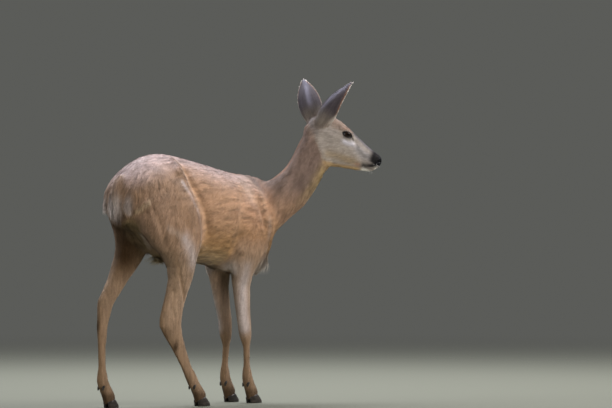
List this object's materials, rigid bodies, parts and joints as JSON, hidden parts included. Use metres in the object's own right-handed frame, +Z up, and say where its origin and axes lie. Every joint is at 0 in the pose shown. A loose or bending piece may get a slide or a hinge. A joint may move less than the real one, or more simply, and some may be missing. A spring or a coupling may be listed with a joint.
{
  "type": "roe deer",
  "caption": "Life-size still model of a roe deer doe in summer coat, standing with one hind leg forward, her head raised and turned to her right, ears up.",
  "frame": {"origin": "bottom centre of the bounding box, on the floor", "axes": "+X towards her chest, +Y towards her left side, +Z up"},
  "size_m": [0.9014, 0.3334, 0.9298],
  "materials": {
    "coat": "short summer fur, reddish tan to greyish brown",
    "ear_coat": "short greyish brown fur, pale inside, dark at the rim",
    "nose_skin": "bare moist black skin",
    "eye": "glossy very dark brown",
    "horn": "smooth blackish horn, slight sheen"
  },
  "bodies": {
    "root": {"dewclaw_fore_left_inner": "horn", "dewclaw_fore_left_outer": "horn", "dewclaw_fore_right_inner": "horn", "dewclaw_fore_right_outer": "horn", "dewclaw_hind_left_inner": "horn", "dewclaw_hind_left_outer": "horn", "dewclaw_hind_right_inner": "horn", "dewclaw_hind_right_outer": "horn", "ear_left": "ear_coat", "ear_right": "ear_coat", "eye_left": "eye", "eye_right": "eye", "foreleg_left": "coat", "foreleg_right": "coat", "head": "coat", "hindleg_left": "coat", "hindleg_right": "coat", "hoof_fore_left_inner": "horn", "hoof_fore_left_outer": "horn", "hoof_fore_right_inner": "horn", "hoof_fore_right_outer": "horn", "hoof_hind_left_inner": "horn", "hoof_hind_left_outer": "horn", "hoof_hind_right_inner": "horn", "hoof_hind_right_outer": "horn", "neck": "coat", "nose": "nose_skin", "tail": "coat", "trunk": "coat"}
  },
  "joints": []
}
